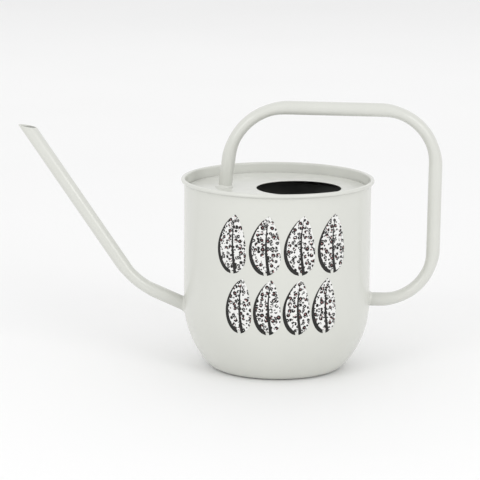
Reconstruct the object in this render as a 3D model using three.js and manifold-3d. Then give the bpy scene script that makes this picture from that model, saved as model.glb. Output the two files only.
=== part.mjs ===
// Indoor watering can of painted steel: a drawn cup with a curled rim, a pressed cover plate
// with an off-centre fill hole, a long bent spout tube, and a handle bent from one tube.
// Millimetres, +Z up. The body turns about Z and stands on Z = 0, the spout points to -X
// and the handle is on the +X side, both in the plane Y = 0.

import * as THREE from 'three';
import { mergeVertices } from 'three/addons/utils/BufferGeometryUtils.js';
import Module from 'manifold-3d';

const wasm = await Module();
wasm.setup();

// ---------------------------------------------------------------- driving dimensions

const SHEET = 0.7; // thickness of the body and cover sheet
const GAP = 0.3; // clearance between neighbouring pieces

const BODY_RADIUS = 68.6; // outside of the straight wall
const BODY_HEIGHT = 141; // base to the top of the rim
const BOWL_TOP = 48.8; // height where the straight wall turns into the bowl
const BOWL_RADIUS = 68.1; // large arc of the bowl
const CORNER_RADIUS = 11; // small arc that runs into the flat base
const RIM_RADIUS = 1.5; // outside radius of the curled rim
const RIM_CURL_END = THREE.MathUtils.degToRad(-108); // where the curl stops, short of the wall
const WIRE_RADIUS = 0.5; // wire inside the curl

const COVER_HEIGHT = 133.6; // top face of the cover plate
const COVER_CORNER = 2; // bend between the plate and its skirt
const COVER_SKIRT = 7; // full depth of the skirt
const SEAM_SIZE = 1.4; // legs of the bead that seals the skirt to the wall
const HOLE_RADIUS = 31.1; // fill hole
const HOLE_X = 15.5;

const TUBE_RADIUS = 5; // spout and handle tube
const TUBE_WALL = 0.8;
const FLATTEN_EASE = 0.25; // share of a bend, at each end, over which the tube goes from round to flattened

const SPOUT_BEND = 58; // centreline bend radius
const SPOUT_RISE = THREE.MathUtils.degToRad(55.9); // slope of the long upper run
const SPOUT_CORNER = new THREE.Vector2(-104.9, 61.6); // where the two runs would meet
const SPOUT_ROOT = new THREE.Vector2(-62.3, 42.8); // inner end, just inside the wall
const SPOUT_MOUTH_X = -183.2; // centre of the slanted mouth
const SPOUT_MOUTH_Z = 177.5;
const SPOUT_MOUTH_SLOPE = THREE.MathUtils.degToRad(-9.8);

// Handle centreline: corner points, each with its bend radius, from the foot on the
// cover plate round to the butt joint on the wall.
const HANDLE_FOOT = new THREE.Vector2(-38.7, COVER_HEIGHT);
const HANDLE_CORNERS = [
  { at: new THREE.Vector2(-31.4, 193.4), radius: 42.8 },
  { at: new THREE.Vector2(115.6, 191.05), radius: 40.6 },
  { at: new THREE.Vector2(114.6, 50.3), radius: 37.8 },
];
const HANDLE_END = new THREE.Vector2(BODY_RADIUS, 50.6);
const HANDLE_RISE = HANDLE_CORNERS[0].at.clone().sub(HANDLE_FOOT).normalize();

const FOOT_WELD = { radius: 6.8, height: 2.2 };
const WALL_WELD = { radius: 7.4, height: 3.2 };

const TURNS = 56; // facets round the body
const TUBE_SIDES = 12; // facets round a tube
const TUBE_STEP = 8; // length of one facet along a bent tube

// ---------------------------------------------------------------- solids

function toSolid(geometry) {
  geometry.deleteAttribute('normal');
  geometry.deleteAttribute('uv');
  const merged = mergeVertices(geometry, 1e-4);
  const index = merged.index.array;
  const triangles = [];
  for (let i = 0; i < index.length; i += 3) {
    const [a, b, c] = index.slice(i, i + 3);
    if (a !== b && b !== c && c !== a) triangles.push(a, b, c);
  }
  return new wasm.Manifold(new wasm.Mesh({
    numProp: 3,
    vertProperties: new Float32Array(merged.attributes.position.array),
    triVerts: new Uint32Array(triangles),
  }));
}

function toMesh(name, solid, finish) {
  const { vertProperties, triVerts } = solid.getMesh();
  const geometry = new THREE.BufferGeometry();
  geometry.setAttribute('position', new THREE.BufferAttribute(vertProperties, 3));
  geometry.setIndex(new THREE.BufferAttribute(triVerts, 1));
  geometry.computeVertexNormals();
  const mesh = new THREE.Mesh(geometry, new THREE.MeshStandardMaterial(finish));
  mesh.name = name;
  return mesh;
}

// A profile of (radius, height) points, anticlockwise, turned about Z.
function revolve(profile) {
  return toSolid(new THREE.LatheGeometry(profile, TURNS).rotateX(Math.PI / 2));
}

// Points of an arc from one angle to another, both ends included.
function arc(x, y, radius, from, to, steps) {
  const points = [];
  for (let i = 0; i <= steps; i += 1) {
    const angle = from + (to - from) * (i / steps);
    points.push(new THREE.Vector2(x + radius * Math.cos(angle), y + radius * Math.sin(angle)));
  }
  return points;
}

function inPlane(point) {
  return new THREE.Vector3(point.x, 0, point.y);
}

// An exact circular bend between two directions, in the plane Y = 0.
class Bend extends THREE.Curve {
  constructor(corner, before, after, radius) {
    super();
    this.radius = radius;
    const into = corner.clone().sub(before).normalize();
    const out = after.clone().sub(corner).normalize();
    this.angle = Math.atan2(into.cross(out), into.dot(out));
    const reach = radius * Math.tan(Math.abs(this.angle) / 2);
    this.start = corner.clone().addScaledVector(into, -reach);
    this.end = corner.clone().addScaledVector(out, reach);
    const side = new THREE.Vector2(-into.y, into.x).multiplyScalar(radius * Math.sign(this.angle));
    this.centre = this.start.clone().add(side);
  }

  getPoint(t) {
    return inPlane(this.start.clone().rotateAround(this.centre, this.angle * t));
  }

  // Moves a point of a tube's surface as bending does: the tube gets thinner in the plane of the
  // bend and wider across it, by its own radius over the bend's.
  flatten(point) {
    const from = this.start.clone().sub(this.centre);
    const arm = new THREE.Vector2(point.x, point.z).sub(this.centre);
    const t = Math.atan2(from.cross(arm), from.dot(arm)) / this.angle;
    const offset = arm.length() - this.radius;
    if (t <= 0 || t >= 1 || Math.abs(offset) > 2 * TUBE_RADIUS) return;
    const ease = THREE.MathUtils.smoothstep(Math.min(t, 1 - t), 0, FLATTEN_EASE);
    const amount = ease * (TUBE_RADIUS / this.radius);
    arm.setLength(this.radius + offset * (1 - amount)).add(this.centre);
    point.set(arm.x, point.y * (1 + amount), arm.y);
  }
}

// A centreline of straight runs joined by bends.
function bentPath(start, corners, end) {
  const path = new THREE.CurvePath();
  let from = start;
  corners.forEach(({ at, radius }, i) => {
    const before = i === 0 ? start : corners[i - 1].at;
    const after = i === corners.length - 1 ? end : corners[i + 1].at;
    const bend = new Bend(at, before, after, radius);
    path.add(new THREE.LineCurve3(inPlane(from), inPlane(bend.start)));
    path.add(bend);
    from = bend.end;
  });
  path.add(new THREE.LineCurve3(inPlane(from), inPlane(end)));
  return path;
}

// A rod along a path of runs and bends, flattened in its bends.
function sweep(path, radius) {
  const section = new THREE.Shape().absarc(0, 0, radius, 0, 2 * Math.PI);
  const rod = new THREE.ExtrudeGeometry(section, {
    steps: Math.round(path.getLength() / TUBE_STEP),
    curveSegments: TUBE_SIDES / 2, // a full circle takes two facets for each
    extrudePath: path,
  });
  const { position } = rod.attributes;
  const bends = path.curves.filter((curve) => curve instanceof Bend);
  for (let i = 0; i < position.count; i += 1) {
    const point = new THREE.Vector3().fromBufferAttribute(position, i);
    bends.forEach((bend) => bend.flatten(point));
    position.setXYZ(i, point.x, point.y, point.z);
  }
  return toSolid(rod);
}

function tube(path) {
  return sweep(path, TUBE_RADIUS).subtract(sweep(path, TUBE_RADIUS - TUBE_WALL));
}

// A slab whose top face, or bottom face where it lies above, passes through a point.
function slab(x, z, slope, above) {
  const size = 60;
  const box = new THREE.BoxGeometry(size, size, size);
  box.translate(0, 0, above ? size / 2 : -size / 2);
  box.rotateY(-slope);
  box.translate(x, 0, z);
  return toSolid(box);
}

// ---------------------------------------------------------------- body

// Outside of the cup from the middle of the base up to a height, moved outwards by an offset.
function cupOutline(offset, top) {
  const base = BOWL_RADIUS - CORNER_RADIUS;
  const bowlX = BODY_RADIUS - BOWL_RADIUS;
  const drop = BOWL_TOP - CORNER_RADIUS;
  const split = -Math.asin(drop / base);
  const cornerX = bowlX + base * Math.cos(split);
  return [
    new THREE.Vector2(0, -offset),
    ...arc(cornerX, CORNER_RADIUS, CORNER_RADIUS + offset, -Math.PI / 2, split, 4),
    ...arc(bowlX, BOWL_TOP, BOWL_RADIUS + offset, split, 0, 7).slice(1),
    new THREE.Vector2(BODY_RADIUS + offset, top),
  ];
}

// The solid that fills the cup below the cover, used to trim what meets the wall.
function wallCutter() {
  const top = COVER_HEIGHT - COVER_SKIRT;
  return revolve([...cupOutline(GAP, top), new THREE.Vector2(0, top)]);
}

// One face of the curled rim, from the wall over the top to the curl's free edge.
function curl(radius) {
  const x = BODY_RADIUS - SHEET + RIM_RADIUS;
  const z = BODY_HEIGHT - RIM_RADIUS;
  const under = -Math.PI / 2;
  return [
    ...arc(x, z, radius, Math.PI, under, 6),
    ...arc(x, z, radius, under, RIM_CURL_END, 1).slice(1),
  ];
}

function bodyShell() {
  const top = BODY_HEIGHT - RIM_RADIUS;
  return revolve([
    ...cupOutline(0, top).slice(0, -1),
    ...curl(RIM_RADIUS - SHEET),
    ...curl(RIM_RADIUS).reverse(),
    ...cupOutline(-SHEET, top).slice(0, -1).reverse(),
  ]).subtract(sweep(spoutPath(), TUBE_RADIUS + GAP));
}

function rimWire() {
  const ring = new THREE.TorusGeometry(BODY_RADIUS - SHEET + RIM_RADIUS, WIRE_RADIUS, 6, TURNS);
  ring.translate(0, 0, BODY_HEIGHT - RIM_RADIUS);
  return toSolid(ring);
}

// ---------------------------------------------------------------- cover

const SKIRT_RADIUS = BODY_RADIUS - SHEET - GAP;
const SKIRT_BOTTOM = COVER_HEIGHT - COVER_SKIRT;

function coverPlate() {
  const cornerX = SKIRT_RADIUS - COVER_CORNER;
  const cornerZ = COVER_HEIGHT - COVER_CORNER;
  const under = COVER_HEIGHT - SHEET;
  const plate = revolve([
    new THREE.Vector2(0, under),
    ...arc(cornerX, cornerZ, COVER_CORNER - SHEET, Math.PI / 2, 0, 3),
    new THREE.Vector2(SKIRT_RADIUS - SHEET, SKIRT_BOTTOM),
    new THREE.Vector2(SKIRT_RADIUS, SKIRT_BOTTOM),
    ...arc(cornerX, cornerZ, COVER_CORNER, 0, Math.PI / 2, 3),
    new THREE.Vector2(0, COVER_HEIGHT),
  ]);
  const cutter = new THREE.CylinderGeometry(HOLE_RADIUS, HOLE_RADIUS, 4 * SHEET, 48);
  cutter.rotateX(Math.PI / 2);
  cutter.translate(HOLE_X, 0, COVER_HEIGHT - SHEET / 2);
  return plate.subtract(toSolid(cutter));
}

// Bead of solder in the corner between the skirt's lower edge and the wall.
function coverSeam() {
  const wall = SKIRT_RADIUS;
  const top = SKIRT_BOTTOM - GAP;
  return revolve([
    new THREE.Vector2(wall - SEAM_SIZE, top),
    new THREE.Vector2(wall, top - SEAM_SIZE),
    new THREE.Vector2(wall, top),
    new THREE.Vector2(wall - SEAM_SIZE, top),
  ]);
}

// ---------------------------------------------------------------- spout

function spoutPath() {
  const reach = 160; // runs past the mouth, which is cut afterwards
  const end = new THREE.Vector2(-Math.cos(SPOUT_RISE), Math.sin(SPOUT_RISE));
  end.multiplyScalar(reach).add(SPOUT_CORNER);
  return bentPath(SPOUT_ROOT, [{ at: SPOUT_CORNER, radius: SPOUT_BEND }], end);
}

function spoutTube() {
  const mouth = slab(SPOUT_MOUTH_X, SPOUT_MOUTH_Z, SPOUT_MOUTH_SLOPE, true);
  return tube(spoutPath()).subtract(mouth);
}

// ---------------------------------------------------------------- handle

// The tube is made a little long, then trimmed to the plate and to the wall.
function handleTube() {
  const spare = 4;
  const foot = HANDLE_FOOT.clone().addScaledVector(HANDLE_RISE, -spare);
  const end = HANDLE_END.clone().setX(BODY_RADIUS - spare);
  const plate = slab(HANDLE_FOOT.x, COVER_HEIGHT + GAP, 0, false);
  return tube(bentPath(foot, HANDLE_CORNERS, end)).subtract(plate).subtract(wallCutter());
}

// ---------------------------------------------------------------- welds

// A ring of weld round a tube: wide where it lies on the sheet, hollow-sided towards the tube.
// It is made about Z with the sheet at Z = 0 and sunk a little below it.
function weldRing({ radius, height }, sunk) {
  const inside = TUBE_RADIUS + GAP;
  const spread = radius - inside;
  const lip = 0.2;
  return new THREE.LatheGeometry([
    new THREE.Vector2(inside, -sunk),
    new THREE.Vector2(radius, -sunk),
    new THREE.Vector2(radius, lip),
    new THREE.Vector2(inside + 0.45 * spread, 0.35 * height),
    new THREE.Vector2(inside + lip, height),
    new THREE.Vector2(inside, height),
    new THREE.Vector2(inside, -sunk),
  ], 2 * TUBE_SIDES).rotateX(Math.PI / 2);
}

// Turns a ring made about Z to lean in the plane Y = 0, and puts it in place.
function placeRing(ring, direction, x, z) {
  const lean = Math.atan2(direction.x, direction.y);
  return toSolid(ring.rotateY(lean).translate(x, 0, z));
}

function footWeld() {
  const ring = weldRing(FOOT_WELD, 2);
  const plate = slab(HANDLE_FOOT.x, COVER_HEIGHT + GAP, 0, false);
  return placeRing(ring, HANDLE_RISE, HANDLE_FOOT.x, COVER_HEIGHT + GAP).subtract(plate);
}

function wallWeld(direction, z) {
  const ring = weldRing(WALL_WELD, 5);
  const side = Math.sign(direction.x);
  const placed = placeRing(ring, direction, side * (BODY_RADIUS + GAP), z);
  return placed.subtract(wallCutter());
}

function spoutWeld() {
  const outwards = SPOUT_CORNER.clone().sub(SPOUT_ROOT).normalize();
  const along = (-BODY_RADIUS - GAP - SPOUT_ROOT.x) / outwards.x;
  return wallWeld(outwards, SPOUT_ROOT.y + along * outwards.y);
}

function handleEndWeld() {
  return wallWeld(new THREE.Vector2(1, 0), HANDLE_END.y);
}

// ---------------------------------------------------------------- assembly

const paint = { color: 0xe6e7e1, roughness: 0.35, metalness: 0 };
const steel = { color: 0xa8a9a8, roughness: 0.4, metalness: 1 };

const group = new THREE.Group();
group.add(
  toMesh('body_shell', bodyShell(), paint),
  toMesh('rim_wire', rimWire(), steel),
  toMesh('cover_plate', coverPlate(), paint),
  toMesh('cover_seam_bead', coverSeam(), steel),
  toMesh('spout_tube', spoutTube(), paint),
  toMesh('spout_weld', spoutWeld(), paint),
  toMesh('handle_tube', handleTube(), paint),
  toMesh('handle_foot_weld', footWeld(), paint),
  toMesh('handle_end_weld', handleEndWeld(), paint),
);

export default group;
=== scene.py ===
import math
from functools import partial

import bmesh
import bpy
from mathutils import Matrix, Vector


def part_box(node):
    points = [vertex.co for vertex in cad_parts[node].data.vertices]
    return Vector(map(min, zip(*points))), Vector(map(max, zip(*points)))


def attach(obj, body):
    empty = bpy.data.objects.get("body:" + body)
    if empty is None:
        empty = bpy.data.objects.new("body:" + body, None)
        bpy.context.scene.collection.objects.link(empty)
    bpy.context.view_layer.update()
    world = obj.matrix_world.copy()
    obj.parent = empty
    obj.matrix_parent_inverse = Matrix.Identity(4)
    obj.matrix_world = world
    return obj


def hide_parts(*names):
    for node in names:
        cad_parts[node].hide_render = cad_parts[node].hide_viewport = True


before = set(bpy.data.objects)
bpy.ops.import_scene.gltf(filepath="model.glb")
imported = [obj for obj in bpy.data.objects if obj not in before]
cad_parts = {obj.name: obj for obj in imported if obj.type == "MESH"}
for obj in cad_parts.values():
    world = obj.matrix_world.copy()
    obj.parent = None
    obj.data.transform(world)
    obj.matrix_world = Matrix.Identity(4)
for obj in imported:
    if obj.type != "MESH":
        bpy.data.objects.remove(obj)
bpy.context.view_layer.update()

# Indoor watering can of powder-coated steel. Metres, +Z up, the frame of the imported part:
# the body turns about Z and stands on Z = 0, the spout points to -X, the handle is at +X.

MM = 0.001

# ------------------------------------------------------------------ dimensions

shell_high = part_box("body_shell")[1]
cover_low, cover_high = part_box("cover_plate")
seam_low, seam_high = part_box("cover_seam_bead")

SHEET = 0.7 * MM  # thickness of the body and the cover

RIM_CURL = 1.5 * MM  # outside radius of the curled rim
CURL_END = math.radians(-112)  # where the curl stops, short of the wall
WALL_R = shell_high.x - 2 * RIM_CURL + SHEET
RIM_X = WALL_R - SHEET + RIM_CURL  # middle of the curl and of the wire in it
RIM_Z = shell_high.z - RIM_CURL
WIRE_R = 0.5 * MM

BOWL_TOP = 48.8 * MM  # height where the straight wall turns into the bowl
BOWL_R = 68.1 * MM
CORNER_R = 11 * MM  # small arc that runs into the flat base

COVER_TOP = cover_high.z
SKIRT_R = cover_high.x
COVER_CORNER = 2 * MM  # bend between the plate and its skirt
HOLE_R = 31.1 * MM
HOLE_X = 15.5 * MM

TUBE_R = 5 * MM  # spout and handle
TUBE_WALL = 0.8 * MM
TUBE_LIP = 0.3 * MM  # how far the rounding of a cut end runs along the tube
PAINTED_BORE = 1.5 * MM  # how far the outside's paint reaches into a cut end; deeper in, the bore takes the painted shade
FLATTEN_EASE = 0.25  # share of a bend, at each end, over which the tube goes from round to flattened

SPOUT_RISE = math.radians(55.9)  # slope of the long upper run
SPOUT_BEND = 58 * MM
SPOUT_CORNER = Vector((-104.9, 0, 61.6)) * MM  # where the two runs would meet
SPOUT_ROOT = Vector((-62.3, 0, 42.8)) * MM  # inner end, just inside the wall
SPOUT_LENGTH = 125 * MM  # from the corner to a little short of the mouth
SPOUT_HOLE_GAP = 0.1 * MM  # between the tube and the hole that it goes through
MOUTH = Vector((-183.2, 0, 177.5)) * MM
MOUTH_SLOPE = math.radians(-9.8)

# Handle centreline: corner points, each with its bend radius, from the foot on the cover plate
# round to the joint on the wall.
HANDLE_FOOT = Vector((-38.7, 0, 0)) * MM + Vector((0, 0, COVER_TOP))
HANDLE_CORNERS = [
    (Vector((-31.4, 0, 193.4)) * MM, 42.8 * MM),
    (Vector((115.6, 0, 191.05)) * MM, 40.6 * MM),
    (Vector((114.6, 0, 50.3)) * MM, 37.8 * MM),
]
HANDLE_END = Vector((WALL_R, 0, 50.6 * MM))

TURNS = 192  # facets round the body
SIDES = 40  # facets round a tube
WELD_TURNS = 120  # facets round a weld
BEND_STEP = math.radians(3)


# ------------------------------------------------------------------ mesh helpers

def turn_angles(count):
    """Angles of evenly spaced points once round a circle."""
    return [2 * math.pi * i / count for i in range(count)]


def finish_mesh(mesh_data, name, sharp=40):
    """Turns a bmesh into an object, smooth but for edges sharper than an angle in degrees."""
    bmesh.ops.remove_doubles(mesh_data, verts=mesh_data.verts, dist=1e-7)
    bmesh.ops.recalc_face_normals(mesh_data, faces=mesh_data.faces)
    for face in mesh_data.faces:
        face.smooth = True
    for edge in mesh_data.edges:
        edge.smooth = edge.calc_face_angle(0) < math.radians(sharp)
    mesh = bpy.data.meshes.new(name)
    mesh_data.to_mesh(mesh)
    mesh_data.free()
    piece = bpy.data.objects.new(name, mesh)
    bpy.context.scene.collection.objects.link(piece)
    return piece


def grid(rows, name, wrap_all=True, sharp=40, inside=()):
    """A mesh of four-sided faces through closed rows of points.

    By default the last row is also joined to the first. The strips that start at the rows listed
    in inside take the piece's second material.
    """
    mesh_data = bmesh.new()
    verts = [[mesh_data.verts.new(point) for point in row] for row in rows]
    pairs = list(zip(verts, verts[1:]))
    if wrap_all:
        pairs.append((verts[-1], verts[0]))
    for strip, (lower, upper) in enumerate(pairs):
        count = len(lower)
        for i in range(count):
            j = (i + 1) % count
            face = mesh_data.faces.new((lower[i], lower[j], upper[j], upper[i]))
            face.material_index = 1 if strip in inside else 0
    return finish_mesh(mesh_data, name, sharp)


def arc(x, z, radius, start, end, steps):
    """Points of an arc in a profile, both ends included."""
    angles = [start + (end - start) * i / steps for i in range(steps + 1)]
    return [(x + radius * math.cos(a), z + radius * math.sin(a)) for a in angles]


def line(a, b, steps):
    """Points of a straight stretch in a profile, without its last one."""
    (ax, az), (bx, bz) = a, b
    return [(ax + (bx - ax) * i / steps, az + (bz - az) * i / steps) for i in range(steps)]


def turned(profile, name, wrap_all=False, inside=()):
    """A profile of (radius, height) points turned about Z."""
    angles = turn_angles(TURNS)
    rows = [[(r * math.cos(a), r * math.sin(a), z) for a in angles] for r, z in profile]
    return grid(rows, name, wrap_all=wrap_all, inside=inside)


def drill(piece, centre, direction, radius, depth):
    """Cuts a round hole through a piece, along a direction, with its middle at a point."""
    shape = bmesh.new()
    place = Matrix.Translation(centre) @ direction.to_track_quat("Z", "Y").to_matrix().to_4x4()
    bmesh.ops.create_cone(shape, cap_ends=True, segments=64, radius1=radius, radius2=radius,
                          depth=depth, matrix=place)
    cutter = bpy.data.objects.new("cutter", bpy.data.meshes.new("cutter"))
    bpy.context.scene.collection.objects.link(cutter)
    shape.to_mesh(cutter.data)
    shape.free()
    cut = piece.modifiers.new("hole", "BOOLEAN")
    cut.operation = "DIFFERENCE"
    cut.object = cutter
    cut.solver = "EXACT"
    depsgraph = bpy.context.evaluated_depsgraph_get()
    result = bpy.data.meshes.new_from_object(piece.evaluated_get(depsgraph))
    piece.modifiers.clear()
    piece.data = result
    bpy.data.objects.remove(cutter)


# ------------------------------------------------------------------ paths and tubes

def perpendicular(direction):
    """The normal of a direction in the plane Y = 0."""
    return Vector((-direction.z, 0, direction.x))


def flattened(t, radius):
    """How far a tube is flattened a share t of the way round a bend.

    The most, in the middle of the bend, is the tube's own radius over the bend's.
    """
    ease = min(t, 1 - t, FLATTEN_EASE) / FLATTEN_EASE
    return (3 - 2 * ease) * ease ** 2 * TUBE_R / radius


def bent_path(start, corners, end):
    """Stops along straight runs joined by round bends: (point, direction, flattening) each."""
    points = [start] + [corner for corner, radius in corners] + [end]
    path = [(start, (points[1] - start).normalized(), 0)]
    for i, (corner, radius) in enumerate(corners):
        into = (corner - points[i]).normalized()
        out = (points[i + 2] - corner).normalized()
        turn = math.atan2(into.x * out.z - into.z * out.x, into.dot(out))
        reach = radius * math.tan(abs(turn) / 2)
        first = corner - into * reach
        centre = first + perpendicular(into) * math.copysign(radius, turn)
        steps = max(4, round(abs(turn) / BEND_STEP))
        for k in range(steps + 1):
            spin = Matrix.Rotation(-turn * k / steps, 3, "Y")
            flat = flattened(k / steps, radius)
            path.append((centre + spin @ (first - centre), (spin @ into).normalized(), flat))
    path.append((end, (end - points[-2]).normalized(), 0))
    return path


def ring(centre, direction, flat, radius):
    """A circle of points round a path, thinner in the plane of a bend and wider across it."""
    side = perpendicular(direction) * (1 - flat)
    across = Vector((0, 1 + flat, 0))
    angles = turn_angles(SIDES)
    return [centre + radius * (side * math.cos(a) + across * math.sin(a)) for a in angles]


def to_plane(point, direction, origin, normal):
    """Slides a point along a direction onto a plane."""
    return point + direction * ((origin - point).dot(normal) / direction.dot(normal))


def rounded_lip(path_end, slide, inward):
    """Rings over the edge of a cut tube, from its outside to as far in as the paint reaches.

    slide puts a point onto the surface of the cut. inward is 1 at the path's start, -1 at its end.
    """
    centre, direction, flat = path_end
    steps = 6
    rings = []
    for k in range(steps + 1):
        angle = math.pi * k / steps
        around = TUBE_R - TUBE_WALL / 2 + TUBE_WALL / 2 * math.cos(angle)
        back = direction * (inward * TUBE_LIP * (1 - math.sin(angle)))
        rings.append([slide(p) + back for p in ring(centre, direction, flat, around)])
    painted = direction * (inward * PAINTED_BORE)
    rings.append([slide(p) + painted for p in ring(centre, direction, flat, TUBE_R - TUBE_WALL)])
    return rings


def tube(path, name, start_slide, end_slide):
    """A hollow tube with both ends cut by a surface and their edges rounded."""
    outside = [ring(*stop, TUBE_R) for stop in path[1:-1]]
    bore = [ring(*stop, TUBE_R - TUBE_WALL) for stop in path[1:-1]]
    end_lip = rounded_lip(path[-1], end_slide, -1)
    start_lip = rounded_lip(path[0], start_slide, 1)
    rows = outside + end_lip + bore[::-1] + start_lip[::-1]
    # The bore takes the second material, painted shade, from where the paint of each cut end stops.
    first = len(outside) + len(end_lip) - 1
    return grid(rows, name, inside=range(first, first + len(bore) + 1))


# ------------------------------------------------------------------ body

def bowl_arcs(offset):
    """The two arcs under the straight wall: (centre x, centre z, radius) each, and where they meet.

    The offset moves both outwards. They meet at an angle, which is the same for any offset.
    """
    between = BOWL_R - CORNER_R
    split = -math.asin((BOWL_TOP - CORNER_R) / between)
    bowl_x = WALL_R - BOWL_R
    corner_x = bowl_x + between * math.cos(split)
    return (bowl_x, BOWL_TOP, BOWL_R + offset), (corner_x, CORNER_R, CORNER_R + offset), split


def cup_profile(offset, top):
    """Outline of the cup from the middle of the base to a height, moved outwards by an offset."""
    bowl, corner, split = bowl_arcs(offset)
    base = line((0, -offset), (corner[0], -offset), 6)
    wall = line((WALL_R + offset, BOWL_TOP), (WALL_R + offset, top), 20)
    return base + arc(*corner, -math.pi / 2, split, 12) + arc(*bowl, split, 0, 26)[1:] + wall[1:]


def wall_radius(z):
    """Outside radius of the cup at a height above its lower corner."""
    if z >= BOWL_TOP:
        return WALL_R
    bowl_x, bowl_z, radius = bowl_arcs(0)[0]
    return bowl_x + math.sqrt(radius ** 2 - (bowl_z - z) ** 2)


def make_body():
    """The drawn cup with its curled rim and the hole that the spout goes through."""
    under_cover = COVER_TOP - SHEET
    profile = cup_profile(0, RIM_Z)
    profile += arc(RIM_X, RIM_Z, RIM_CURL - SHEET, math.pi, CURL_END, 26)
    profile += arc(RIM_X, RIM_Z, RIM_CURL, CURL_END, math.pi, 30)
    profile += line((WALL_R - SHEET, RIM_Z), (WALL_R - SHEET, under_cover), 4)[1:]
    tank_start = len(profile)
    # The tank's inside, below the cover, takes the second material: painted shade.
    profile += cup_profile(-SHEET, under_cover)[::-1]
    body = turned(profile, "body_cup", inside=range(tank_start, len(profile)))
    along = (SPOUT_CORNER - SPOUT_ROOT).normalized()
    drill(body, SPOUT_ROOT, along, radius=TUBE_R + SPOUT_HOLE_GAP, depth=24 * MM)
    return body


def make_rim_wire():
    """The wire inside the curled rim."""
    section = arc(RIM_X, RIM_Z, WIRE_R, 0, 2 * math.pi, 12)[:-1]
    return turned(section, "rim_stiffener", wrap_all=True)


# ------------------------------------------------------------------ cover

def make_cover():
    """The cover plate: a pressed disc with a skirt, and a round-edged fill hole off its centre."""
    corner_x = SKIRT_R - COVER_CORNER
    corner_z = COVER_TOP - COVER_CORNER
    half = SHEET / 2
    inner_r = HOLE_R + half
    angles = turn_angles(TURNS)
    steps = 16

    def circle(centre_x, radius, z):
        return [(centre_x + radius * math.cos(a), radius * math.sin(a), z) for a in angles]

    def flat_circle(k, z):
        t = k / steps
        return circle(HOLE_X * (1 - t), inner_r + (corner_x - inner_r) * t, z)

    edge = arc(inner_r, COVER_TOP - half, half, -math.pi / 2, -3 * math.pi / 2, 8)
    rows = [circle(HOLE_X, r, z) for r, z in edge]
    rows += [flat_circle(k, COVER_TOP) for k in range(1, steps)]
    skirt = arc(corner_x, corner_z, COVER_CORNER, math.pi / 2, 0, 10)
    skirt += [(SKIRT_R, cover_low.z), (SKIRT_R - SHEET, cover_low.z)]
    rows += [circle(0, r, z) for r, z in skirt]
    # The underside and the skirt's inside take the second material: painted shade.
    underside = len(rows) - 1
    skirt_inside = arc(corner_x, corner_z, COVER_CORNER - SHEET, 0, math.pi / 2, 8)
    rows += [circle(0, r, z) for r, z in skirt_inside]
    rows += [flat_circle(k, COVER_TOP - SHEET) for k in range(steps - 1, 0, -1)]
    return grid(rows, "cover_disc", inside=range(underside, len(rows)))


def make_seam():
    """The solder that seals the skirt's lower edge to the wall, a little uneven round the tank."""
    out, high = seam_high.x, seam_high.z
    size = seam_high.z - seam_low.z
    hollow = 0.22  # depth of the bead's face, as a share of its leg
    steps = 10
    face = [(k / steps, hollow * math.sin(math.pi * k / steps)) for k in range(steps + 1)]
    sections = []
    for a in turn_angles(TURNS):
        leg = size * (0.86 + 0.08 * math.sin(7 * a) + 0.05 * math.sin(19 * a + 1))
        section = [(out, high)]
        section += [(out - leg * (1 - t) + leg * dip, high - leg * t + leg * dip) for t, dip in face]
        sections.append([(r * math.cos(a), r * math.sin(a), z) for r, z in section])
    return grid(sections, "seam_solder")


# ------------------------------------------------------------------ spout and handle

def make_spout():
    """The spout: a steep run, a bend and a gentle run through the wall, with a slanted mouth."""
    rise = Vector((-math.cos(SPOUT_RISE), 0, math.sin(SPOUT_RISE)))
    path = bent_path(SPOUT_ROOT, [(SPOUT_CORNER, SPOUT_BEND)], SPOUT_CORNER + rise * SPOUT_LENGTH)
    up = Vector((-math.sin(MOUTH_SLOPE), 0, math.cos(MOUTH_SLOPE)))
    return tube(path, "spout_pipe", lambda p: p, lambda p: to_plane(p, rise, MOUTH, up))


def make_handle():
    """The handle: one tube from the cover plate over the top and down to the wall."""
    path = bent_path(HANDLE_FOOT, HANDLE_CORNERS, HANDLE_END)
    rise = path[0][1]
    up = Vector((0, 0, 1))

    def to_wall(point):
        return Vector((math.sqrt(WALL_R ** 2 - point.y ** 2), point.y, point.z))

    return tube(path, "handle_pipe", lambda p: to_plane(p, rise, HANDLE_FOOT, up), to_wall)


# ------------------------------------------------------------------ welds

def to_wall_along(point, direction):
    """Slides a point along a direction until it lies on the outside of the cup."""
    for _ in range(12):
        gap = math.hypot(point.x, point.y) - wall_radius(point.z)
        radial = Vector((point.x, point.y, 0)).normalized()
        point = point - direction * (gap / direction.dot(radial))
    return point


def ripple(angle, seed):
    """A slow wander and a fine ripple round a weld, about zero."""
    slow = 0.6 * math.sin(2 * angle + seed) + 0.4 * math.sin(5 * angle + 2.3 * seed)
    return slow, math.sin(23 * angle + seed + 0.6 * slow)


def weld_section(top, corner, toe, fullness, bump):
    """Points of a fillet from the tube down to the sheet.

    It is hollow at 0 fullness, flat at 1 and bulges above that. bump lifts its middle.
    """
    control = corner.lerp((top + toe) / 2, fullness)
    lift = ((top + toe) / 2 - corner).normalized()
    points = []
    steps = 10
    for k in range(steps + 1):
        t = k / steps
        point = top * (1 - t) ** 2 + control * (2 * t * (1 - t)) + toe * t ** 2
        points.append(point + lift * (bump * math.sin(math.pi * t)))
    return points


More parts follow.
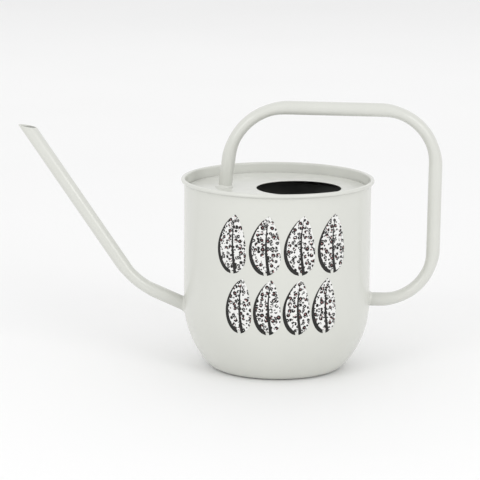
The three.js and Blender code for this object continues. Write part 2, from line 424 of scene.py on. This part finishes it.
def make_weld(name, foot, direction, slide, heavy, light, fullness, seed):
    """A ring of weld round a tube that stands on a surface.

    heavy and light are its height up the tube and its spread over the sheet, on the side that the
    path's perpendicular points to and on the other side.
    """
    side = perpendicular(direction)
    sink = 0.05 * MM  # how far its edges reach into the tube and the sheet
    ripple_height = 0.03 * MM
    rows = []
    for angle in turn_angles(WELD_TURNS):
        out = side * math.cos(angle) + Vector((0, math.sin(angle), 0))
        slow, fine = ripple(angle, seed)
        share = (1 + math.cos(angle)) / 2
        up = (light[0] + (heavy[0] - light[0]) * share) * (1 + 0.08 * slow)
        wide = (light[1] + (heavy[1] - light[1]) * share) * (1 + 0.1 * slow)
        corner = slide(foot + out * TUBE_R, direction)
        toe = slide(foot + out * (TUBE_R + wide), direction)
        top = corner + direction * up - out * sink
        toe_in = (toe - corner).normalized()
        toe = toe - direction * sink + toe_in * sink
        under = slide(foot + out * (TUBE_R - TUBE_WALL / 2), direction) - direction * (SHEET / 2)
        rows.append([under] + weld_section(top, corner, toe, fullness, ripple_height * fine))
    return grid(rows, name, sharp=60)


def make_welds():
    """The three welds: spout to wall, handle to wall, handle to cover plate."""
    spout_out = (SPOUT_CORNER - SPOUT_ROOT).normalized()
    spout_foot = to_wall_along(SPOUT_ROOT, spout_out)
    spout = make_weld("spout_bead", spout_foot, spout_out, to_wall_along,
                      heavy=(3.2 * MM, 2.4 * MM), light=(0.9 * MM, 0.9 * MM), fullness=0.08, seed=1.0)
    end_out = Vector((1, 0, 0))
    end = make_weld("handle_end_bead", HANDLE_END, end_out, to_wall_along,
                    heavy=(2.8 * MM, 2.2 * MM), light=(0.8 * MM, 0.7 * MM), fullness=0.12, seed=2.0)
    rise = (HANDLE_CORNERS[0][0] - HANDLE_FOOT).normalized()

    def to_cover(point, direction):
        return to_plane(point, direction, HANDLE_FOOT, Vector((0, 0, 1)))

    foot = make_weld("handle_foot_bead", HANDLE_FOOT, rise, to_cover,
                     heavy=(2.1 * MM, 2.2 * MM), light=(1.7 * MM, 0.7 * MM), fullness=1.3, seed=3.0)
    return spout, end, foot


# ------------------------------------------------------------------ print

PRINT_MIDDLE = math.radians(4.7)  # the print's centre line, turned from -Y towards the handle
LEAF_ROWS = [
    {"low": 83.6 * MM, "high": 124.8 * MM, "pitch": math.radians(21), "half_width": 10.4 * MM},
    {"low": 40.1 * MM, "high": 78.8 * MM, "pitch": math.radians(17.8), "half_width": 8.9 * MM},
]
LEAVES_IN_ROW = 4
LEAF_STEPS = (60, 8)  # faces along a blade and across it
LEAF_TIP = 0.002  # share of a leaf's height left off at each end, where it would come to a point
LEAF_BOW = 2 * MM
RIB = 1.2 * MM  # half width of the open rib at the leaf's foot
THINNEST = 0.05 * MM  # least width of a blade
SHADOW_SHIFT = (-2.2 * MM, -1.8 * MM)
SHADOW_HEIGHTS = (0.005 * MM, 0.05 * MM)  # under and upper side of the ink, over the wall
FILL_HEIGHTS = (0.055 * MM, 0.1 * MM)


def on_wall(angle, z, proud):
    """A point on the wall at an angle from -Y towards +X, standing a little proud."""
    r = wall_radius(z) + proud
    return Vector((r * math.sin(angle), -r * math.cos(angle), z))


def leaf_edge(t):
    """Half width of a leaf, at most 1, from its full foot, t = 0, to its pointed tip, t = 1."""
    full, pointed = 0.46, 0.74
    peak = full / (full + pointed)
    return (t / peak) ** full * ((1 - t) / (1 - peak)) ** pointed


def film(mesh_data, place, rows, columns, low, high):
    """A thin closed layer of ink between two heights over the wall.

    place gives a point from its share along the layer, its share across it and its height.
    """

    def layer(proud):
        verts = []
        for i in range(rows + 1):
            stops = [place(i / rows, j / columns, proud) for j in range(columns + 1)]
            verts.append([mesh_data.verts.new(point) for point in stops])
        for lower, upper in zip(verts, verts[1:]):
            for j in range(columns):
                mesh_data.faces.new((lower[j], lower[j + 1], upper[j + 1], upper[j]))
        return verts

    under, over = layer(low), layer(high)
    border = [(i, 0) for i in range(rows)] + [(rows, j) for j in range(columns)]
    border += [(rows - i, columns) for i in range(rows)] + [(0, columns - j) for j in range(columns)]
    for (i, j), (k, m) in zip(border, border[1:] + border[:1]):
        mesh_data.faces.new((under[i][j], under[k][m], over[k][m], over[i][j]))


def leaf_shape(angle, row, shift, low, high):
    """A leaf on the wall, bowed to one side: two blades with an open rib between them."""
    mesh_data = bmesh.new()
    height = row["high"] - row["low"]

    def place(side, along, across, proud):
        t = LEAF_TIP + (1 - 2 * LEAF_TIP) * along
        rib = RIB * (1 - t) ** 0.8
        edge = max(rib + THINNEST, row["half_width"] * leaf_edge(t))
        bow = LEAF_BOW * (0.5 - math.sin(math.pi * t))
        u = side * (rib + (edge - rib) * across) + bow + shift[0]
        return on_wall(angle + u / WALL_R, row["low"] + height * t + shift[1], proud)

    for side in (-1, 1):
        film(mesh_data, partial(place, side), *LEAF_STEPS, low, high)
    return finish_mesh(mesh_data, "leaf")


def joined(pieces, name):
    """One object of several meshes."""
    mesh_data = bmesh.new()
    for piece in pieces:
        mesh_data.from_mesh(piece.data)
        bpy.data.objects.remove(piece)
    return finish_mesh(mesh_data, name)


def make_print():
    """Two rows of upright leaves: an animal-spot fill over a dark drop shadow."""
    fills = []
    shadows = []
    for row in LEAF_ROWS:
        for i in range(LEAVES_IN_ROW):
            angle = PRINT_MIDDLE + row["pitch"] * (i - (LEAVES_IN_ROW - 1) / 2)
            fills.append(leaf_shape(angle, row, (0, 0), *FILL_HEIGHTS))
            shadows.append(leaf_shape(angle, row, SHADOW_SHIFT, *SHADOW_HEIGHTS))
    return joined(fills, "print_leaves"), joined(shadows, "print_shadows")


# ------------------------------------------------------------------ materials

class Nodes:
    """A material being built: makes nodes and links them, around one Principled shader."""

    def __init__(self, name):
        self.material = bpy.data.materials.new(name)
        self.material.use_nodes = True
        self.tree = self.material.node_tree
        self.shader = self.tree.nodes["Principled BSDF"]
        self.place = self.add("ShaderNodeTexCoord").outputs["Object"]

    def add(self, kind, **settings):
        node = self.tree.nodes.new(kind)
        for key, value in settings.items():
            setattr(node, key, value)
        return node

    def link(self, source, target):
        self.tree.links.new(source, target)

    def noise(self, scale, detail=2.0, place=None, output="Fac"):
        node = self.add("ShaderNodeTexNoise")
        node.inputs["Scale"].default_value = scale
        node.inputs["Detail"].default_value = detail
        self.link(place or self.place, node.inputs["Vector"])
        return node.outputs[output]

    def spread(self, value, low, high, start=0.2, end=0.8):
        """Spreads a value between start and end smoothly over low to high."""
        node = self.add("ShaderNodeMapRange", interpolation_type="SMOOTHSTEP")
        node.inputs["From Min"].default_value = start
        node.inputs["From Max"].default_value = end
        node.inputs["To Min"].default_value = low
        node.inputs["To Max"].default_value = high
        self.link(value, node.inputs["Value"])
        return node.outputs["Result"]

    def mix(self, factor, a, b):
        """A colour from a, at factor 0, to b, at factor 1; each is a tuple or a socket."""
        node = self.add("ShaderNodeMix", data_type="RGBA")
        self.link(factor, node.inputs["Factor"])
        for socket, value in (("A", a), ("B", b)):
            target = [s for s in node.inputs if s.name == socket and s.type == "RGBA"][0]
            if isinstance(value, tuple):
                target.default_value = (*value, 1)
            else:
                self.link(value, target)
        return [s for s in node.outputs if s.type == "RGBA"][0]

    def maths(self, operation, a, b=0.0):
        node = self.add("ShaderNodeMath", operation=operation)
        for target, value in zip(node.inputs, (a, b)):
            if isinstance(value, (int, float)):
                target.default_value = value
            else:
                self.link(value, target)
        return node.outputs[0]

    def bump(self, height, strength, distance):
        node = self.add("ShaderNodeBump")
        node.inputs["Strength"].default_value = strength
        node.inputs["Distance"].default_value = distance
        self.link(height, node.inputs["Height"])
        return node.outputs["Normal"]


def paint(name, light, dark):
    """Satin powder coat: an even cream film with a faint orange-peel surface."""
    m = Nodes(name)
    cloud = m.spread(m.noise(22, 3), 0, 1)
    m.link(m.mix(cloud, light, dark), m.shader.inputs["Base Color"])
    m.link(m.spread(m.noise(90, 4), 0.16, 0.24), m.shader.inputs["Roughness"])
    m.link(m.bump(m.noise(420, 2), 0.3, 0.04 * MM), m.shader.inputs["Normal"])
    return m.material


def painted_shade_coat(name):
    """Painted shade for the inside of the tank and the tubes: dark grey, matt, a little patchy."""
    m = Nodes(name)
    cloud = m.spread(m.noise(60, 4), 0, 1)
    m.link(m.mix(cloud, (0.22, 0.225, 0.215), (0.17, 0.175, 0.165)), m.shader.inputs["Base Color"])
    m.link(m.spread(m.noise(120, 3), 0.6, 0.8), m.shader.inputs["Roughness"])
    m.shader.inputs["Specular IOR Level"].default_value = 0.3
    m.link(m.bump(m.noise(500, 3), 0.2, 0.08 * MM), m.shader.inputs["Normal"])
    return m.material


def bare_steel(name):
    """Drawn wire and solder: finely mottled grey metal."""
    m = Nodes(name)
    cloud = m.spread(m.noise(300, 4), 0, 1)
    m.link(m.mix(cloud, (0.42, 0.42, 0.41), (0.30, 0.30, 0.29)), m.shader.inputs["Base Color"])
    m.link(m.spread(m.noise(900, 3), 0.35, 0.55), m.shader.inputs["Roughness"])
    m.link(m.bump(m.noise(1500, 3), 0.3, 0.03 * MM), m.shader.inputs["Normal"])
    m.shader.inputs["Metallic"].default_value = 1.0
    return m.material


def wall_coordinates(m):
    """The place on the wall, unrolled flat: arc length, height, 0."""
    split = m.add("ShaderNodeSeparateXYZ")
    m.link(m.place, split.inputs[0])
    angle = m.maths("ARCTAN2", split.outputs["X"], m.maths("MULTIPLY", split.outputs["Y"], -1.0))
    flat = m.add("ShaderNodeCombineXYZ")
    m.link(m.maths("MULTIPLY", angle, WALL_R), flat.inputs["X"])
    m.link(split.outputs["Z"], flat.inputs["Y"])
    return flat.outputs[0]


RING_CELLS = 250  # to a metre
DOT_CELLS = 300
DOT_OFFSET = 31 * MM  # sets the dots' cells apart from the rings'
SPOT_WANDER = 1.6 * MM


def spot_cells(m, flat, scale, offset):
    """Cells over the unrolled wall: how far a place is from its cell's middle, in shares of a cell,
    and a chance for the cell.
    """
    wander = m.add("ShaderNodeVectorMath", operation="MULTIPLY_ADD")
    m.link(m.noise(480, 2, flat, "Color"), wander.inputs[0])
    wander.inputs[1].default_value = (SPOT_WANDER, SPOT_WANDER, 0)
    m.link(flat, wander.inputs[2])
    move = m.add("ShaderNodeVectorMath", operation="ADD")
    m.link(wander.outputs[0], move.inputs[0])
    move.inputs[1].default_value = (offset, offset, 0)
    pattern = m.add("ShaderNodeTexVoronoi", voronoi_dimensions="2D", feature="F1")
    pattern.inputs["Scale"].default_value = scale
    pattern.inputs["Randomness"].default_value = 0.7
    m.link(move.outputs[0], pattern.inputs["Vector"])
    chance = m.add("ShaderNodeSeparateColor")
    m.link(pattern.outputs["Color"], chance.inputs[0])
    return pattern.outputs["Distance"], chance.outputs["Red"]


def ink_surface(m, smooth, rough):
    """The matt surface of a printed ink."""
    m.shader.inputs["Specular IOR Level"].default_value = 0.2
    m.link(m.spread(m.noise(200, 2), smooth, rough), m.shader.inputs["Roughness"])
    m.link(m.bump(m.noise(900, 2), 0.08, 0.04 * MM), m.shader.inputs["Normal"])


def animal_spots(name):
    """Screen print on a white ground: broken dark rings, most with a dull red middle, and dots."""
    m = Nodes(name)
    flat = wall_coordinates(m)
    far, chance = spot_cells(m, flat, RING_CELLS, 0)
    reach = m.spread(chance, 0.30, 0.41, 0, 1)
    spot = m.maths("LESS_THAN", far, reach)
    middle = m.maths("LESS_THAN", far, m.maths("MULTIPLY", reach, 0.22))
    unbroken = m.maths("GREATER_THAN", m.noise(420, 1, flat), 0.42)
    ring_ink = m.maths("MULTIPLY", m.maths("SUBTRACT", spot, middle), unbroken)
    dot_far, dot_chance = spot_cells(m, flat, DOT_CELLS, DOT_OFFSET)
    dot = m.maths("LESS_THAN", dot_far, m.spread(dot_chance, 0.17, 0.38, 0, 1))
    between_rings = m.maths("GREATER_THAN", far, m.maths("ADD", reach, 0.05))
    ink = m.maths("MAXIMUM", ring_ink, m.maths("MULTIPLY", dot, between_rings))
    red = m.maths("MULTIPLY", middle, m.maths("GREATER_THAN", chance, 0.35))
    ground = m.mix(m.spread(m.noise(90, 2), 0, 1), (0.78, 0.78, 0.765), (0.745, 0.745, 0.73))
    tinted = m.mix(red, ground, (0.45, 0.20, 0.20))
    m.link(m.mix(ink, tinted, (0.020, 0.019, 0.018)), m.shader.inputs["Base Color"])
    ink_surface(m, 0.36, 0.46)
    return m.material


def shadow_ink(name):
    """Flat charcoal ink of the drop shadows."""
    m = Nodes(name)
    cloud = m.spread(m.noise(400, 3), 0, 1)
    m.link(m.mix(cloud, (0.018, 0.018, 0.017), (0.028, 0.027, 0.026)), m.shader.inputs["Base Color"])
    ink_surface(m, 0.38, 0.48)
    return m.material


def floor_paint(name):
    """Plain pale studio floor."""
    m = Nodes(name)
    m.link(m.mix(m.spread(m.noise(3, 2), 0, 1), (0.90, 0.90, 0.90), (0.89, 0.89, 0.89)),
           m.shader.inputs["Base Color"])
    m.shader.inputs["Roughness"].default_value = 0.7
    m.shader.inputs["Specular IOR Level"].default_value = 0.2
    return m.material


# ------------------------------------------------------------------ studio

def make_floor():
    """A pale floor large enough to fill the view."""
    mesh_data = bmesh.new()
    half_width = 9
    bmesh.ops.create_grid(mesh_data, x_segments=8, y_segments=8, size=half_width)
    floor = finish_mesh(mesh_data, "floor")
    floor.data.materials.append(floor_paint("floor_paint"))


def make_camera():
    """A long lens looking 12 degrees down, aimed a little left of and above the body's middle."""
    distance = 1.8
    pitch = math.radians(11.99)
    roll = math.radians(0.4)
    middle = Vector((0, 0, 74.6 * MM))
    left, above = 27.47 * MM, 19.04 * MM
    camera = bpy.data.objects.new("camera", bpy.data.cameras.new("camera"))
    camera.data.sensor_width = 36
    camera.data.lens = 182.75
    camera.data.clip_end = 50
    place = middle + distance * Vector((0, -math.cos(pitch), math.sin(pitch)))
    up = Vector((0, math.sin(pitch), math.cos(pitch)))
    aim = middle + Vector((-left, 0, 0)) + up * above
    look = (aim - place).to_track_quat("-Z", "Y").to_matrix().to_4x4()
    camera.matrix_world = Matrix.Translation(place) @ look @ Matrix.Rotation(roll, 4, "Z")
    bpy.context.scene.collection.objects.link(camera)
    bpy.context.scene.camera = camera


def area_light(name, place, target, size, power):
    """A soft rectangular light that faces a point."""
    data = bpy.data.lights.new(name, "AREA")
    data.shape = "RECTANGLE"
    data.size, data.size_y = size
    data.energy = power
    light = bpy.data.objects.new(name, data)
    light.location = place
    light.rotation_euler = (Vector(target) - Vector(place)).to_track_quat("-Z", "Y").to_euler()
    bpy.context.scene.collection.objects.link(light)


def make_studio():
    """An even bright surround, a soft light on each side of the front, weak ones left and behind."""
    scene = bpy.context.scene
    world = bpy.data.worlds.new("surround")
    world.use_nodes = True
    world.node_tree.nodes["Background"].inputs["Color"].default_value = (1, 1, 1, 1)
    world.node_tree.nodes["Background"].inputs["Strength"].default_value = 0.94
    scene.world = world
    scene.view_settings.view_transform = "Standard"
    middle = (0, 0, 0.1)
    area_light("front_left", (-1.5, -1.9, 1.2), middle, (0.9, 1.2), 10.2)
    area_light("front_right", (1.5, -1.9, 1.2), middle, (0.9, 1.2), 13)
    area_light("left", (-1.9, -0.2, 0.5), middle, (0.9, 1.2), 0.8)
    area_light("back", (0, 1.9, 1.2), middle, (2.4, 1.0), 2.1)


# ------------------------------------------------------------------ the can

def add_piece(piece, coats, slot, *nodes):
    """Gives a piece its materials and its place in the frame, and hides the CAD nodes it stands for.
    """
    for coat in coats:
        piece.data.materials.append(coat)
    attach(piece, "root")
    if nodes:
        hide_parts(*nodes)


def make_can():
    """Every piece of the can, with its print."""
    body_paint = paint("body_coat", (0.634, 0.640, 0.600), (0.618, 0.624, 0.584))
    tube_paint = paint("tube_coat", (0.626, 0.632, 0.592), (0.610, 0.616, 0.576))
    # Painted shade: a near-black coat on the tank's inside, the cover's underside and the tubes'
    # bores.
    inner_painted_shade = painted_shade_coat("inner_painted_shade")
    steel = bare_steel("bare_steel")
    spout_bead, end_bead, foot_bead = make_welds()
    leaves, shadows = make_print()
    add_piece(make_body(), (body_paint, inner_painted_shade), "body_paint", "body_shell")
    add_piece(make_cover(), (body_paint, inner_painted_shade), "body_paint", "cover_plate")
    add_piece(make_rim_wire(), (steel,), "bare_steel", "rim_wire")
    add_piece(make_seam(), (steel,), "bare_steel", "cover_seam_bead")
    add_piece(make_spout(), (tube_paint, inner_painted_shade), "tube_paint", "spout_tube")
    add_piece(make_handle(), (tube_paint, inner_painted_shade), "tube_paint", "handle_tube")
    add_piece(spout_bead, (tube_paint,), "tube_paint", "spout_weld")
    add_piece(end_bead, (tube_paint,), "tube_paint", "handle_end_weld")
    add_piece(foot_bead, (tube_paint,), "tube_paint", "handle_foot_weld")
    add_piece(leaves, (animal_spots("spot_print"),), "body_paint")
    add_piece(shadows, (shadow_ink("shadow_ink"),), "body_paint")


make_camera()
make_studio()
make_floor()
make_can()
